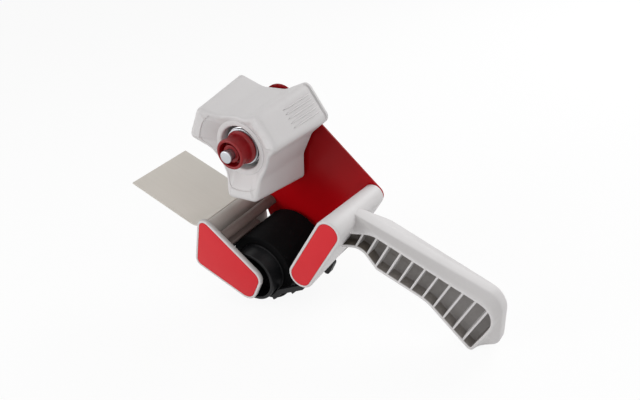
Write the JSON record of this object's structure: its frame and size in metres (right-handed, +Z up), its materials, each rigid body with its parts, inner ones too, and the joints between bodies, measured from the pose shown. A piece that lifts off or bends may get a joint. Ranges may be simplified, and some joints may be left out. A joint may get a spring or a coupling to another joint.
{
  "type": "hand tape dispenser",
  "caption": "Pistol-grip packing tape dispenser: side plate, three-lobed hub with brake knob, rubber roller, toothed blade, wiper flap and ribbed grip.",
  "frame": {"origin": "floor, below the middle of the object's box", "axes": "+X along the length from the flap to the grip's tip, +Y from the open side to the side plate, +Z up"},
  "size_m": [0.245, 0.0606, 0.1365],
  "materials": {
    "light_plastic": "fine satin moulding",
    "red_paint": "gloss enamel",
    "red_inset": "satin, bare",
    "red_plastic": "glossy moulding",
    "flap_plastic": "satin sheet",
    "dark_steel": "blackened",
    "bright_steel": "zinc plated",
    "chrome_wire": "polished",
    "black_rubber": "matt",
    "black_plastic": "satin",
    "fibre": "pressed fibre",
    "brass": "turned"
  },
  "bodies": {
    "frame": {"side_plate": "red_paint", "handle": "light_plastic", "handle_inset": "red_inset", "handle_screw_1": "bright_steel", "handle_screw_2": "bright_steel", "hub_bolt": "bright_steel", "bolt_lock_nut": "bright_steel", "friction_washer": "fibre", "pressure_washer": "bright_steel", "brake_spring": "chrome_wire", "roller_axle": "bright_steel", "axle_retaining_nut": "bright_steel", "front_cheek": "light_plastic", "cheek_inset": "red_inset", "tape_bar_upper": "flap_plastic", "front_screw": "bright_steel", "tape_bar_lower": "flap_plastic", "guide_plate": "flap_plastic", "cutting_blade": "dark_steel", "blade_holder": "black_plastic", "blade_screw_1": "bright_steel", "blade_screw_2": "bright_steel"},
    "hub_wheel": {"hub": "light_plastic", "hub_bush": "brass"},
    "roller_drum": {"roller_sleeve": "black_rubber", "roller_core": "black_plastic", "roller_bush_near": "brass", "roller_bush_far": "brass"},
    "brake_slide": {"slip_washer": "bright_steel"},
    "brake_knob": {"tension_knob": "red_plastic", "knob_nut": "brass"},
    "flap_sheet": {"wiper_flap": "flap_plastic"}
  },
  "joints": [
    {"name": "hub_turn", "type": "hinge", "parent": "frame", "child": "hub_wheel", "pos_m": [-0.02924, -0.00055, 0.10863], "axis": [0, 1, 0], "continuous": true},
    {"name": "roller_turn", "type": "hinge", "parent": "frame", "child": "roller_drum", "pos_m": [-0.03674, 0.00405, 0.02294], "axis": [0, 1, 0], "continuous": true},
    {"name": "knob_travel", "type": "slide", "parent": "frame", "child": "brake_slide", "axis": [0, -1, 0], "range_m": [0, 0.0019]},
    {"name": "knob_turn", "type": "hinge", "parent": "brake_slide", "child": "brake_knob", "pos_m": [-0.02924, -0.02075, 0.10863], "axis": [0, -1, 0], "range_deg": [0, 547.2]},
    {"name": "flap_flex", "type": "hinge", "parent": "frame", "child": "flap_sheet", "pos_m": [-0.06524, -0.00095, 0.05824], "axis": [0, 1, 0], "range_deg": [-10, 10], "stiffness_Nm_per_rad": 0.05}
  ],
  "couplings": [
    {"joint": "knob_turn", "follows": "knob_travel", "rad_per_m": 5026.5}
  ]
}
